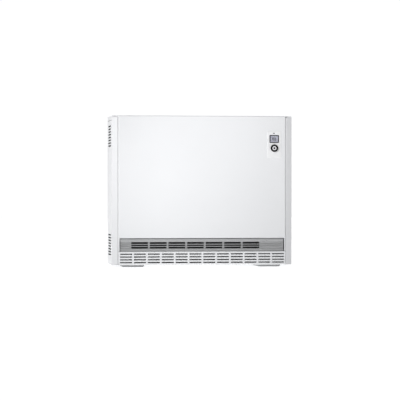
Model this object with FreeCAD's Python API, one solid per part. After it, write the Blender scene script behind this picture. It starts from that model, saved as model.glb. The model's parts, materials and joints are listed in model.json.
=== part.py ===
"""Slimline fan-assisted heater with a heat-storing core, in millimetres.

Frame: +X to the heater's right-hand end as seen from the front, the front faces -Y, +Z up.
The origin is on the floor, under the middle of the heater.
"""
import FreeCAD, Part
import math
import os

V = FreeCAD.Vector
X_AXIS = V(1, 0, 0)
Y_AXIS = V(0, 1, 0)
Z_AXIS = V(0, 0, 1)

# Casing
HALF_WIDTH = 390.0
HEIGHT = 650.0
FRONT_Y = -118.0
BACK_Y = 113.0
SHEET = 1.2
BODY_BOTTOM = 9.2           # lower edge of the casing, above the floor
SEAM_X = 363.0              # where a side panel's front band meets the front panel
BAND_Y = (-115.8, -108.6)   # face of a front band, at its seam and at its outer edge
FRONT_HALF = 362.4
PANEL_EDGE_R = 4.0
COVER_FRONT_Y = -108.0
COVER_SKIRT = 6.1
SIDE_TOP = 643.5
FLANGE_DEPTH = 14.0
REAR_Y = 110.4              # inner face of the rear panel

# Side vents
VENT_LENGTH = 138.0
VENT_HEIGHT = 6.4
VENT_PITCH = 12.1
VENT_ROWS = 8
UPPER_VENT_Z = 521.6        # centre of the lowest slot in the upper group
LOWER_VENT_Z = 52.6
HOOK_SLOT_Z = 631.0

# Outlet and intake
OPENING_HALF = 357.0
OPENING_TOP = 124.5
OUTLET_HALF = 353.5
OUTLET_X = -28.0            # middle of the outlet windows and of the core
WINDOW_PITCH = 80.5
WINDOW_COUNT = 7
WEB = 8.6
WINDOW_Z = (80.0, 108.5)
BACKING_Y = -104.0           # front face of the sheet with the outlet windows
SLAT_Z = (97.8, 88.6)
GRILLE_SCREW_X = (-311.0, 277.0)
GRILLE_SCREW_Z = 111.5
PLINTH_TOP = 67.2
SLOT_COLUMNS = 12
SLOT_ROWS = 4
SLOT_PITCH_X = 59.8
SLOT_PITCH_Z = 12.03
SLOT_LENGTH = 52.7
SLOT_HEIGHT = 5.3
LOWEST_SLOT_Z = 20.2

# Feet and fixings
FOOT_X = 296.0
FOOT_HALF = 49.0
FOOT_Y = (-88.0, 104.0)
FOOT_WALL = 2.0
TRAY_Z = 9.7
TRAY_SHEET = 1.5
FLOOR_HOLE_Y = (-67.0, 83.0)
FIXING_R = 4.5
BRACKET_BACK_Y = 127.0
BRACKET_SHEET = 2.0
BRACKET_HOLE_X = 250.0
BRACKET_HOLE_Z = 612.0
SCREW_R = 2.0
SCREW_HOLE_R = 2.2
SCREW_HEAD_R = 4.0
SCREW_HEAD = 2.4
SCREW_LENGTH = 4.5          # under the head
SIDE_SCREW_Z = (60.0, 240.0, 420.0, 600.0)
COVER_SCREW_Z = 637.0
COVER_SCREW_X = (-345.0, -120.0, 120.0, 345.0)
BRACKET_SCREW_Z = 572.0
BRACKET_SCREW_X = (-270.0, -90.0, 90.0, 270.0)

# Core
BRICK_W = 175.0
BRICK_D = 130.0
BRICK_H = 108.0
BRICK_GAP = 0.6
BRICK_COLUMNS = 3
BRICK_ROWS = 4
CORE_Z = 165.0
CORE_LEFT = OUTLET_X - BRICK_W * BRICK_COLUMNS / 2
ELEMENT_R = 4.25
ELEMENT_GROOVE_R = 5.5
ELEMENT_Y = 28.0
WRAP_X = (-345.0, 285.0)    # the insulated box around the core
WRAP_Y = (-112.0, 108.2)
WRAP_Z = (130.4, 640.0)
DIVIDER_X = 286.0
DECK_Z = 127.0
HOT_SLOT_Y = (-60.0, -36.0)
FEED_SLOT_Y = (26.0, 62.0)

# Fan and mixing flap
FAN_X = -44.0
FAN_Y = 30.0
FAN_Z = 52.0
FAN_HALF = 262.0
ROTOR_R = 29.0
ROTOR_LENGTH = 220.0
BLADES = 20
SHAFT_R = 4.0
RUNNING = 0.05
SCROLL_R = 36.0
MOTOR_R = 27.0
MOTOR_LENGTH = 62.0
DUCT_X = (-304.0, 250.0)
DUCT_Y = (-100.4, -22.0)
DUCT_Z = (67.5, 126.6)
FLAP_Y = -28.0
FLAP_Z = 116.0
FLAP_LENGTH = 36.0
FLAP_SHAFT_R = 3.0

# Controls
BEZEL_X = 312.6
BEZEL_Z = 527.4
BEZEL_W = 59.0
BEZEL_H = 113.8
BEZEL_FACE = -119.6
DISPLAY_Z = 551.2
DISPLAY_W = 42.0
DISPLAY_H = 34.4
KNOB_Z = 511.5
KNOB_R = 16.0
KNOB_FACE = -127.0
SLEEVE_R = 12.0
BUTTON_R = 8.8
GUIDE_R = 9.6               # outside of the fixed tube that guides the button's stem
GUIDE_FACE = -120.4
BOARD_Y = -109.5
LENS_Z = 575.4

# Wiring compartment
WALL_FACE = DIVIDER_X + SHEET
SENSOR_Z = 436.0
LIMITER_Z = 326.0
TERMINAL_Z = 154.0
TERMINAL_Y = (-20.0, -6.0, 8.0, 22.0, 36.0, 50.0)
RESET_R = 4.0

# Cable entry
CABLE_X = 340.0
CABLE_Z = 92.0
CABLE_R = 8.0


def box(x, y, z):
    """A block from three (low, high) pairs."""
    return Part.makeBox(x[1] - x[0], y[1] - y[0], z[1] - z[0], V(x[0], y[0], z[0]))


def rod(start, axis, radius, length):
    return Part.makeCylinder(radius, length, start, axis)


def pipe(start, axis, outer, inner, length):
    return rod(start, axis, outer, length).cut(rod(start, axis, inner, length))


def join(shapes):
    return shapes[0].multiFuse(shapes[1:]).removeSplitter()


def cut(shape, tools):
    return shape.cut(Part.makeCompound(tools))


def mirror(shape):
    """The same shape on the other side of the heater's middle."""
    return shape.mirror(V(0, 0, 0), X_AXIS)


def along(edge, axis):
    """True when a straight edge runs along the axis."""
    if not isinstance(edge.Curve, Part.Line):
        return False
    return edge.tangentAt(edge.FirstParameter).cross(axis).Length < 1e-6


def soften(shape, radius, chosen):
    edges = [edge for edge in shape.Edges if chosen(edge)]
    return shape.makeFillet(radius, edges)


def prism(points, axis, length):
    """A polygon pushed along an axis."""
    outline = Part.makePolygon([V(*p) for p in points] + [V(*points[0])])
    return Part.Face(outline).extrude(axis * length)


def offset_path(points, distance):
    """A path of 2-D points moved to its right-hand side, with mitred corners."""
    normals = []
    for (ax, ay), (bx, by) in zip(points, points[1:]):
        length = math.hypot(bx - ax, by - ay)
        normals.append(((by - ay) / length, (ax - bx) / length))
    moved = []
    for i, (px, py) in enumerate(points):
        before = normals[max(i - 1, 0)]
        after = normals[min(i, len(normals) - 1)]
        scale = distance / (1 + before[0] * after[0] + before[1] * after[1])
        moved.append((px + (before[0] + after[0]) * scale, py + (before[1] + after[1]) * scale))
    return moved


def folded(points, thickness, axis, start, length, bend):
    """A folded sheet: a path of 2-D points, thickened to its right and pushed along X or Z."""
    inner = offset_path(points, thickness)
    ring = points + inner[::-1]
    if axis == Z_AXIS:
        outline = [(u, v, start) for u, v in ring]
    else:
        outline = [(start, u, v) for u, v in ring]
    sheet = prism(outline, axis, length)
    for path, other in ((points, inner), (inner, points)):
        for corner, opposite in zip(path[1:-1], other[1:-1]):
            sheet = round_corner(sheet, corner, opposite, path, axis, bend, thickness)
    return sheet


def round_corner(sheet, corner, opposite, path, axis, bend, thickness):
    """Rounds one fold line: the outside of a fold takes the larger radius."""
    i = path.index(corner)
    before, after = path[i - 1], path[i + 1]
    middle = ((before[0] + after[0]) / 2, (before[1] + after[1]) / 2)
    outside = math.dist(corner, middle) > math.dist(opposite, middle)
    radius = bend if outside else bend - thickness

    def on_corner(edge):
        point = edge.Vertexes[0].Point
        place = (point.x, point.y) if axis == Z_AXIS else (point.y, point.z)
        return along(edge, axis) and math.dist(place, corner) < 1e-3

    return soften(sheet, radius, on_corner)


def stadium(centre, length, height, depth, along_axis, through):
    """A slot with round ends, made as a solid to cut with."""
    half = length / 2 - height / 2
    end = rod(centre - along_axis * half - through * (depth / 2), through, height / 2, depth)
    other = rod(centre + along_axis * half - through * (depth / 2), through, height / 2, depth)
    across = through.cross(along_axis)
    corner = centre - along_axis * half - across * (height / 2) - through * (depth / 2)
    face = Part.Face(Part.makePolygon([
        corner,
        corner + along_axis * (2 * half),
        corner + along_axis * (2 * half) + across * height,
        corner + across * height,
        corner,
    ]))
    return face.extrude(through * depth).fuse([end, other])


def plate_with_corners(x, y, z, radius):
    """A plate facing the front, with its four corners rounded."""
    return soften(box(x, y, z), radius, lambda edge: along(edge, Y_AXIS))


def around(middle, width):
    return (middle - width / 2, middle + width / 2)


# ---------------------------------------------------------------- casing

def side_panel():
    """The left-hand side panel: side, front band, and rear return, with vent slots."""
    outline = [
        (-SEAM_X, -104.0),
        (-SEAM_X, BAND_Y[0]),
        (-HALF_WIDTH, BAND_Y[1]),
        (-HALF_WIDTH, BACK_Y),
        (-HALF_WIDTH + 20.0, BACK_Y),
    ]
    panel = folded(outline, SHEET, Z_AXIS, BODY_BOTTOM, SIDE_TOP - BODY_BOTTOM, 2.6)
    inner = offset_path(outline, SHEET / 2)
    cap_outline = [inner[0], inner[1], inner[2], (inner[2][0], inner[0][1])]
    cap = prism([(x, y, SIDE_TOP - SHEET) for x, y in cap_outline], Z_AXIS, SHEET)
    panel = join([panel, cap])
    slots = []
    for first in (UPPER_VENT_Z, LOWER_VENT_Z):
        for row in range(VENT_ROWS):
            centre = V(-HALF_WIDTH, 0, first + row * VENT_PITCH)
            slots.append(stadium(centre, VENT_LENGTH, VENT_HEIGHT, 6, Y_AXIS, X_AXIS))
    hook = stadium(V(-HALF_WIDTH, 0, HOOK_SLOT_Z), 182, 2.0, 6, Y_AXIS, X_AXIS)
    holes = [rod(V(-380, BACK_Y - 4, z), Y_AXIS, SCREW_HOLE_R, 8) for z in SIDE_SCREW_Z]
    return cut(panel, slots + [hook] + holes)


def front_panel():
    """One pressed sheet: the face, its folded edges, the outlet notch and the control cut-out."""
    width = (-FRONT_HALF, FRONT_HALF)
    height = (PLINTH_TOP + 1.0, HEIGHT)
    shell = box(width, (FRONT_Y, FRONT_Y + FLANGE_DEPTH), height)
    shell = soften(shell, PANEL_EDGE_R, lambda edge: edge.CenterOfMass.y < FRONT_Y + 0.1)
    inside = box((width[0] + SHEET, width[1] - SHEET), (FRONT_Y + SHEET, FRONT_Y + FLANGE_DEPTH),
                 (height[0] + SHEET, height[1] - SHEET))
    inside = soften(inside, PANEL_EDGE_R - SHEET, lambda edge: edge.CenterOfMass.y < FRONT_Y + SHEET + 0.1)
    shell = shell.cut(inside)
    # The top fold stops short of the top cover.
    shell = shell.cut(box((-400, 400), (COVER_FRONT_Y - 0.6, -90), (HEIGHT - 8, HEIGHT + 1)))
    lining = box(around(0, 2 * (OPENING_HALF + SHEET)), (FRONT_Y + SHEET / 2, FRONT_Y + 10),
                 (height[0], OPENING_TOP + SHEET))
    shell = shell.fuse(lining)
    notch = box(around(0, 2 * OPENING_HALF), (FRONT_Y - 1, FRONT_Y + 30), (height[0] - 1, OPENING_TOP))
    notch = soften(notch, 3.0, lambda edge: along(edge, Y_AXIS) and edge.CenterOfMass.z > OPENING_TOP - 1)
    cutout = plate_with_corners(around(BEZEL_X, BEZEL_W - 4.2), (FRONT_Y - 1, FRONT_Y + 5),
                                around(BEZEL_Z, BEZEL_H - 4.2), 2.0)
    return cut(shell, [notch, cutout]).removeSplitter()


def top_cover():
    """A shallow lid between the side panels' tops and behind the front panel."""
    low = HEIGHT - COVER_SKIRT
    lid = box((-HALF_WIDTH, HALF_WIDTH), (COVER_FRONT_Y, BACK_Y), (low, HEIGHT))
    lid = soften(lid, 2.5, lambda edge: along(edge, Z_AXIS))
    lid = soften(lid, 2.0, lambda edge: edge.CenterOfMass.z > HEIGHT - 0.1)
    hollow = box((-HALF_WIDTH + SHEET, HALF_WIDTH - SHEET), (COVER_FRONT_Y + SHEET, BACK_Y - SHEET),
                 (low - 1, HEIGHT - SHEET))
    rear_skirt = box((-365, 365), (BACK_Y - SHEET, BACK_Y), (COVER_SCREW_Z - 7, low + 2))
    holes = [rod(V(x, BACK_Y - 4, COVER_SCREW_Z), Y_AXIS, SCREW_HOLE_R, 8) for x in COVER_SCREW_X]
    return cut(join([lid.cut(hollow), rear_skirt]), holes)


def rear_panel():
    panel = box((-387.6, 387.6), (REAR_Y, REAR_Y + SHEET), (TRAY_Z + 2, HEIGHT - 1.6))
    ribs = []
    for z in (210, 330, 450):
        ribs.append(stadium(V(-30, REAR_Y + SHEET + 0.5, z), 600, 14, 3.0, X_AXIS, Y_AXIS))
    panel = join([panel] + ribs)
    hollows = []
    for z in (210, 330, 450):
        hollows.append(stadium(V(-30, REAR_Y, z), 597.6, 11.6, 4.0 - SHEET, X_AXIS, Y_AXIS))
    start = REAR_Y - 3
    holes = [rod(V(side * 380, start, z), Y_AXIS, SCREW_HOLE_R, 8) for side in (-1, 1) for z in SIDE_SCREW_Z]
    holes += [rod(V(x, start, COVER_SCREW_Z), Y_AXIS, SCREW_HOLE_R, 8) for x in COVER_SCREW_X]
    holes += [rod(V(x, start, BRACKET_SCREW_Z), Y_AXIS, SCREW_HOLE_R, 8) for x in BRACKET_SCREW_X]
    holes.append(rod(V(CABLE_X, start, CABLE_Z), Y_AXIS, CABLE_R + 3.0, 8))
    return cut(panel, hollows + holes)


def base_tray():
    """The galvanised tray that carries the core, with folded-up edges."""
    x = (-388.4, 388.4)
    y = (-103.4, 109.6)
    tray = box(x, y, (TRAY_Z, TRAY_Z + 18))
    tray = tray.cut(box((x[0] + TRAY_SHEET, x[1] - TRAY_SHEET), (y[0] + TRAY_SHEET, y[1] - TRAY_SHEET),
                        (TRAY_Z + TRAY_SHEET, TRAY_Z + 19)))
    low_front = box((-400, 400), (y[0] - 1, y[0] + 8), (TRAY_Z + 5.5, TRAY_Z + 19))
    holes = [rod(V(x, y, TRAY_Z - 2), Z_AXIS, SCREW_HOLE_R, 6) for x, y in foot_screw_places()]
    holes += [rod(V(side * FOOT_X, y, TRAY_Z - 2), Z_AXIS, 8.0, 6) for side in (-1, 1) for y in FLOOR_HOLE_Y]
    return cut(tray, [low_front] + holes)


def foot_screw_places():
    places = []
    for side in (-1, 1):
        for dx in (-FOOT_HALF + 8, FOOT_HALF - 8):
            for y in (FOOT_Y[0] + 24, FOOT_Y[1] - 24):
                places.append((side * FOOT_X + dx, y))
    return places


def foot():
    """The left-hand runner: a pressed pan with bevelled lower edges, open at the top."""
    x = (-FOOT_X - FOOT_HALF, -FOOT_X + FOOT_HALF)
    pan = box(x, FOOT_Y, (0, TRAY_Z))
    pan = soften(pan, 8.0, lambda edge: along(edge, Z_AXIS))
    base = [edge for edge in pan.Edges if edge.CenterOfMass.z < 0.1]
    pan = pan.makeChamfer(5.5, base)
    pocket = box((x[0] + 6, x[1] - 6), (FOOT_Y[0] + 6, FOOT_Y[1] - 6), (FOOT_WALL, TRAY_Z - FOOT_WALL))
    mouth = box((x[0] + 16, x[1] - 16), (FOOT_Y[0] + 16, FOOT_Y[1] - 16), (FOOT_WALL, TRAY_Z + 1))
    holes = [rod(V(-FOOT_X, y, -1), Z_AXIS, FIXING_R, 6) for y in FLOOR_HOLE_Y]
    holes += [rod(V(px, py, FOOT_WALL), Z_AXIS, SCREW_HOLE_R, 9) for px, py in foot_screw_places() if px < 0]
    return cut(pan, [pocket, mouth] + holes)


def wall_bracket():
    """A Z-section that ties the top of the rear panel to the wall."""
    face = REAR_Y + SHEET
    path = [
        (face, BRACKET_SCREW_Z - 15),
        (face, BRACKET_SCREW_Z + 14),
        (BRACKET_BACK_Y - BRACKET_SHEET, BRACKET_SCREW_Z + 14),
        (BRACKET_BACK_Y - BRACKET_SHEET, BRACKET_HOLE_Z + 15),
    ]
    bracket = folded(path, BRACKET_SHEET, X_AXIS, -320, 640, 3.2)
    holes = [rod(V(x, face - 2, BRACKET_SCREW_Z), Y_AXIS, SCREW_HOLE_R, 8) for x in BRACKET_SCREW_X]
    holes += [rod(V(side * BRACKET_HOLE_X, BRACKET_BACK_Y - 5, BRACKET_HOLE_Z), Y_AXIS, FIXING_R, 8)
              for side in (-1, 1)]
    return cut(bracket, holes)


def screw(head_base, direction):
    """A pan-head screw whose head rests at head_base and whose shank points along direction."""
    head = rod(head_base - direction * SCREW_HEAD, direction, SCREW_HEAD_R, SCREW_HEAD)
    head = soften(head, 1.0, lambda edge: (edge.CenterOfMass - head_base).dot(direction) < -2)
    shank = rod(head_base - direction * 0.5, direction, SCREW_R, SCREW_LENGTH + 0.5)
    side = X_AXIS if abs(direction.x) < 0.5 else Y_AXIS
    up = direction.cross(side)
    recess = []
    for a, b in ((side, up), (up, side)):
        corner = head_base - direction * 3 - a * 2.2 - b * 0.45
        face = Part.Face(Part.makePolygon([corner, corner + a * 4.4, corner + a * 4.4 + b * 0.9,
                                           corner + b * 0.9, corner]))
        recess.append(face.extrude(direction * 1.6))
    return cut(head.fuse(shank), recess)


def casing_screws():
    """Identical screws at the side returns, the top cover, the wall bracket and the feet."""
    inward = V(0, -1, 0)
    screws = []
    for z in SIDE_SCREW_Z:
        screws += [screw(V(side * 380, BACK_Y, z), inward) for side in (-1, 1)]
    screws += [screw(V(x, BACK_Y, COVER_SCREW_Z), inward) for x in COVER_SCREW_X]
    bracket_face = REAR_Y + SHEET + BRACKET_SHEET
    screws += [screw(V(x, bracket_face, BRACKET_SCREW_Z), inward) for x in BRACKET_SCREW_X]
    tray_top = TRAY_Z + TRAY_SHEET
    screws += [screw(V(x, y, tray_top), V(0, 0, -1)) for x, y in foot_screw_places()]
    return Part.makeCompound(screws)


# ---------------------------------------------------------------- outlet and intake

def outlet_frame():
    """The grey grille body: hood, windowed backing sheet, lower lip and end cheeks."""
    front = -110.0
    section = [
        (BACKING_Y + 3.0, 67.8),
        (front - 0.6, 67.8),
        (front - 0.2, 71.4),
        (front + 0.8, 72.6),
        (front + 1.6, 78.6),
        (BACKING_Y + 0.6, 79.2),
    ]
    lip = folded(section, 1.4, X_AXIS, -OUTLET_HALF, 2 * OUTLET_HALF, 1.6)
    hood_section = [
        (BACKING_Y + 0.6, 108.3),
        (-108.6, 107.6),
        (front + 0.6, 109.0),
        (front + 0.2, 113.6),
        (front - 0.8, 114.6),
        (front, 116.0),
        (front + 2.4, 121.6),
        (front + 5.4, 122.8),
        (BACKING_Y + 3.0, 122.8),
    ]
    hood = folded(hood_section, 1.4, X_AXIS, -OUTLET_HALF, 2 * OUTLET_HALF, 1.5)
    backing = box((-OUTLET_HALF, OUTLET_HALF), (BACKING_Y, BACKING_Y + SHEET), (68.6, 122.8))
    windows = []
    for i in range(WINDOW_COUNT):
        middle = OUTLET_X + (i - (WINDOW_COUNT - 1) / 2) * WINDOW_PITCH
        windows.append(plate_with_corners(around(middle, WINDOW_PITCH - WEB), (BACKING_Y - 5, BACKING_Y + 5),
                                          WINDOW_Z, 2.5))
    backing = cut(backing, windows)
    cheeks = []
    for side in (-1, 1):
        outer = side * OUTLET_HALF
        x = sorted((outer, outer - side * SHEET))
        cheeks.append(box(x, (-107.5, BACKING_Y + 0.5), (69.0, 120.5)))
    frame = join([lip, hood, backing] + cheeks)
    holes = [rod(V(x, -125, GRILLE_SCREW_Z), Y_AXIS, 1.7, 30) for x in GRILLE_SCREW_X]
    return cut(frame, holes)


def outlet_slats():
    """Two thin blades on upright stays that stand in front of the backing sheet's webs."""
    blades = []
    half = OUTLET_HALF - SHEET - 0.3
    for z in SLAT_Z:
        section = [
            (-half, -108.4, z - 1.3),
            (-half, -108.9, z - 0.2),
            (-half, -107.6, z + 1.5),
            (-half, BACKING_Y - 0.2, z + 1.9),
            (-half, BACKING_Y - 0.2, z + 0.7),
            (-half, -106.8, z - 0.6),
        ]
        blades.append(prism(section, X_AXIS, 2 * half))
    stays = []
    for i in range(WINDOW_COUNT - 1):
        middle = OUTLET_X + (i - (WINDOW_COUNT - 2) / 2) * WINDOW_PITCH
        stays.append(box(around(middle, 2.4), (-107.0, BACKING_Y - 0.1), (81.0, 105.5)))
    for side in (-1, 1):
        stays.append(box(around(side * (half - 1.2), 2.4), (-107.0, BACKING_Y - 0.1), (81.0, 105.5)))
    return join(blades + stays)


def grille_screws():
    """Two small countersunk-style screws through the hood."""
    screws = []
    for x in GRILLE_SCREW_X:
        head = rod(V(x, -111.6, GRILLE_SCREW_Z), Y_AXIS, 2.4, 1.4)
        head = soften(head, 0.5, lambda edge: edge.CenterOfMass.y < -111.5)
        shank = rod(V(x, -110.6, GRILLE_SCREW_Z), Y_AXIS, 1.5, 16)
        slot = box(around(x, 3.6), (-112, -110.9), around(GRILLE_SCREW_Z, 0.7))
        screws.append(head.fuse(shank).cut(slot))
    return Part.makeCompound(screws)


def intake_grille():
    """The removable plinth panel with its rows of slots."""
    shell = box((-FRONT_HALF, FRONT_HALF), (FRONT_Y, FRONT_Y + FLANGE_DEPTH), (BODY_BOTTOM, PLINTH_TOP))
    shell = soften(shell, 2.4, lambda edge: edge.CenterOfMass.y < FRONT_Y + 0.1)
    inside = box((-FRONT_HALF + SHEET, FRONT_HALF - SHEET), (FRONT_Y + SHEET, FRONT_Y + FLANGE_DEPTH + 1),
                 (BODY_BOTTOM + SHEET, PLINTH_TOP - SHEET))
    slots = []
    for column in range(SLOT_COLUMNS):
        x = (column - (SLOT_COLUMNS - 1) / 2) * SLOT_PITCH_X
        for row in range(SLOT_ROWS):
            centre = V(x, FRONT_Y, LOWEST_SLOT_Z + row * SLOT_PITCH_Z)
            slots.append(stadium(centre, SLOT_LENGTH, SLOT_HEIGHT, 6, X_AXIS, Y_AXIS))
    return cut(shell.cut(inside), slots)


def lint_filter():
    """A flat frame with upright bars and a thin net, behind the plinth panel."""
    x = (-359.5, 359.5)
    z = (11.5, 63.0)
    frame = box(x, (-113.0, -108.0), z)
    panes = []
    bars = 6
    pane = (x[1] - x[0] - 5 * (bars + 1)) / bars
    for i in range(bars):
        left = x[0] + 5 + i * (pane + 5)
        panes.append(box((left, left + pane), (-114, -107), (z[0] + 4, z[1] - 4)))
    net = box((x[0] + 1, x[1] - 1), (-110.6, -110.0), (z[0] + 1, z[1] - 1))
    return join([cut(frame, panes), net])


def intake_duct():
    """Light plates that close both ends of the plinth and lead the air back to the fan."""
    y = (-101.4, -100.2)
    z = (15.6, 64.5)
    left_edge = FAN_X - FAN_HALF - 4.5
    right_edge = FAN_X + FAN_HALF + 4.6
    left = box((-360, left_edge), y, z)
    right = box((right_edge, 360), y, z)
    left_wall = box((left_edge - SHEET, left_edge), (y[0], -6), z)
    right_wall = box((right_edge, right_edge + SHEET), (y[0], -6), z)
    foot_strip = box((left_edge - SHEET, right_edge + SHEET), (-98, -90), (TRAY_Z + TRAY_SHEET, z[0] + SHEET))
    return join([left, left_wall, right, right_wall, foot_strip])


# ---------------------------------------------------------------- core

def hairpin(radius, right_end):
    """The round path of a heating element: two legs along X and a half-turn at the left."""
    turn_x = CORE_LEFT + 18 + ELEMENT_Y
    legs = [rod(V(turn_x, y, 0), X_AXIS, radius, right_end - turn_x) for y in (-ELEMENT_Y, ELEMENT_Y)]
    ring = Part.makeTorus(ELEMENT_Y, radius, V(turn_x, 0, 0), Z_AXIS)
    half = ring.common(box((turn_x - 60, turn_x), (-60, 60), (-20, 20)))
    return join(legs + [half])


def element_height(level):
    return CORE_Z + BRICK_H * (level + 1) - BRICK_GAP / 2


def heating_element(level):
    """A tubular hairpin with its two terminal studs and ceramic-sized end collars."""
    body = hairpin(ELEMENT_R, DIVIDER_X - 4)
    ends = []
    for y in (-ELEMENT_Y, ELEMENT_Y):
        ends.append(rod(V(DIVIDER_X - 6, y, 0), X_AXIS, 2.0, 26))
        ends.append(rod(V(DIVIDER_X - 5, y, 0), X_AXIS, 3.6, 10))
    element = join([body] + ends)
    element.translate(V(0, 0, element_height(level)))
    return element


def brick_row(row):
    """Three bricks side by side, each with upright air channels and grooves for the elements."""
    z = (CORE_Z + row * BRICK_H, CORE_Z + (row + 1) * BRICK_H - BRICK_GAP)
    grooves = []
    for level in (row - 1, row):
        if 0 <= level < BRICK_ROWS - 1:
            groove = hairpin(ELEMENT_GROOVE_R, CORE_LEFT + BRICK_W * BRICK_COLUMNS + 5)
            groove.translate(V(0, 0, element_height(level)))
            grooves.append(groove)
    bricks = []
    for column in range(BRICK_COLUMNS):
        left = CORE_LEFT + column * BRICK_W
        brick = box((left, left + BRICK_W - BRICK_GAP), (-BRICK_D / 2, BRICK_D / 2), z)
        channels = [box(around(left + BRICK_W / 2, 130), around(y, 10), (z[0] - 1, z[1] + 1))
                    for y in (-50, 0, 50)]
        bricks.append(cut(brick, channels + grooves))
    return Part.makeCompound(bricks)


def wrap_board(x, y, z):
    return soften(box(x, y, z), 2.0, lambda edge: edge.Length > 200)


def insulation_front():
    return wrap_board(WRAP_X, (WRAP_Y[0], -67), (WRAP_Z[0], 599))


def insulation_rear():
    return wrap_board(WRAP_X, (67, WRAP_Y[1]), (WRAP_Z[0], 599))


def insulation_left():
    return wrap_board((WRAP_X[0], CORE_LEFT - 1), (-66.5, 66.5), (165, 599))


def insulation_right():
    """The board that the heating elements and the core sensor pass through."""
    start = CORE_LEFT + BRICK_W * BRICK_COLUMNS + 1
    board = wrap_board((start, WRAP_X[1]), (-66.5, 66.5), (165, 599))
    holes = [rod(V(start - 2, 0, SENSOR_Z), X_AXIS, 4.0, 60)]
    for level in range(BRICK_ROWS - 1):
        for y in (-ELEMENT_Y, ELEMENT_Y):
            holes.append(rod(V(start - 2, y, element_height(level)), X_AXIS, ELEMENT_R + 1.2, 60))
    return cut(board, holes)


def air_slots(z):
    """The hot-air and feed slots through whatever lies between the fan and the core."""
    slots = []
    for column in range(BRICK_COLUMNS):
        middle = CORE_LEFT + (column + 0.5) * BRICK_W
        for y in (HOT_SLOT_Y, FEED_SLOT_Y):
            slots.append(box(around(middle, 140), y, z))
    return slots


def insulation_bottom():
    z = (WRAP_Z[0], CORE_Z - 0.5)
    board = box(WRAP_X, (-66.5, 66.5), z)
    return cut(board, air_slots((z[0] - 1, z[1] + 1)))


def insulation_top():
    return wrap_board(WRAP_X, WRAP_Y, (599.5, WRAP_Z[1]))


def core_cover():
    """The inner front sheet that keeps the insulation and bricks in place."""
    y = WRAP_Y[0] - 0.2
    path = [
        (y + 4.0, WRAP_Z[1] + 1.6),
        (y - SHEET, WRAP_Z[1] + 1.6),
        (y - SHEET, DECK_Z + 1.0),
    ]
    sheet = folded(path, SHEET, X_AXIS, WRAP_X[0], WRAP_X[1] - WRAP_X[0], 2.0)
    return sheet


def core_support():
    """The steel table that carries the core: slotted top and two folded legs."""
    top = box(WRAP_X, (WRAP_Y[0] + 6, WRAP_Y[1]), (DECK_Z, WRAP_Z[0] - 0.2))
    floor = TRAY_Z + TRAY_SHEET
    legs = []
    for x in ((WRAP_X[0], WRAP_X[0] + 3), (WRAP_X[1] - 3, WRAP_X[1])):
        legs.append(box(x, (-90, 105), (floor, DECK_Z + 1)))
    for x in ((WRAP_X[0], WRAP_X[0] + 24), (WRAP_X[1] - 24, WRAP_X[1])):
        legs.append(box(x, (-90, 105), (floor, floor + 2.5)))
    table = cut(join([top] + legs), air_slots((DECK_Z - 1, WRAP_Z[0] + 1)))
    clear = [rod(V(x, y, floor - 1), Z_AXIS, SCREW_HEAD_R + 0.6, 5) for x, y in foot_screw_places()]
    shaft_way = rod(V(WRAP_X[1] - 6, FLAP_Y, FLAP_Z), X_AXIS, FLAP_SHAFT_R + 6, 12)
    access = [rod(V(side * FOOT_X, y, floor - 1), Z_AXIS, 8.0, 6) for side in (-1, 1) for y in FLOOR_HOLE_Y]
    return cut(table, clear + access + [shaft_way])


def compartment_wall():
    """The divider between the core and the wiring compartment, with folded edges."""
    path = [
        (DIVIDER_X + 16, 107.5),
        (DIVIDER_X, 107.5),
        (DIVIDER_X, -95.5),
        (DIVIDER_X + 14, -95.5),
    ]
    floor = TRAY_Z + TRAY_SHEET + 3
    wall = folded(path[::-1], SHEET, Z_AXIS, floor, 628, 2.2)
    tools = [rod(V(DIVIDER_X - 3, 0, SENSOR_Z), X_AXIS, 4.0, 10)]
    for level in range(BRICK_ROWS - 1):
        for y in (-ELEMENT_Y, ELEMENT_Y):
            tools.append(rod(V(DIVIDER_X - 3, y, element_height(level)), X_AXIS, 5.0, 10))
    tools.append(box((DIVIDER_X - 4, DIVIDER_X + 30), (-120, -88), (466, 589)))
    return cut(wall, tools)


# ---------------------------------------------------------------- fan and mixing flap

def fan_housing():
    """Scroll, tongue, deck and end plates of the cross-flow fan."""
    left = FAN_X - FAN_HALF
    length = 2 * FAN_HALF
    centre = V(left, FAN_Y, FAN_Z)
    ring = pipe(centre, X_AXIS, SCROLL_R + SHEET, SCROLL_R, length)
    kept = box((left, left + length), (FAN_Y - 14, FAN_Y + 60), (0, FAN_Z))
    scroll = ring.common(kept)
    rear = box((left, left + length), (FAN_Y + SCROLL_R, FAN_Y + SCROLL_R + SHEET), (FAN_Z - 0.2, DECK_Z - 0.4))
    tongue = box((left, left + length), (22.0, 22.0 + SHEET), (85.0, DECK_Z - 0.4))
    shelf = box((left, left + length), (DUCT_Y[1] + 0.4, 22.6), (85.0, 85.0 + SHEET))
    cheeks = []
    for x in (left - SHEET, left + length):
        cheek = box((x, x + SHEET), (-4, FAN_Y + SCROLL_R + 8), (TRAY_Z + TRAY_SHEET, DECK_Z - 0.4))
        cheeks.append(cheek.cut(rod(V(x - 1, FAN_Y, FAN_Z), X_AXIS, 13.2, 4)))
    return join([scroll, rear, tongue, shelf] + cheeks)


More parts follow.
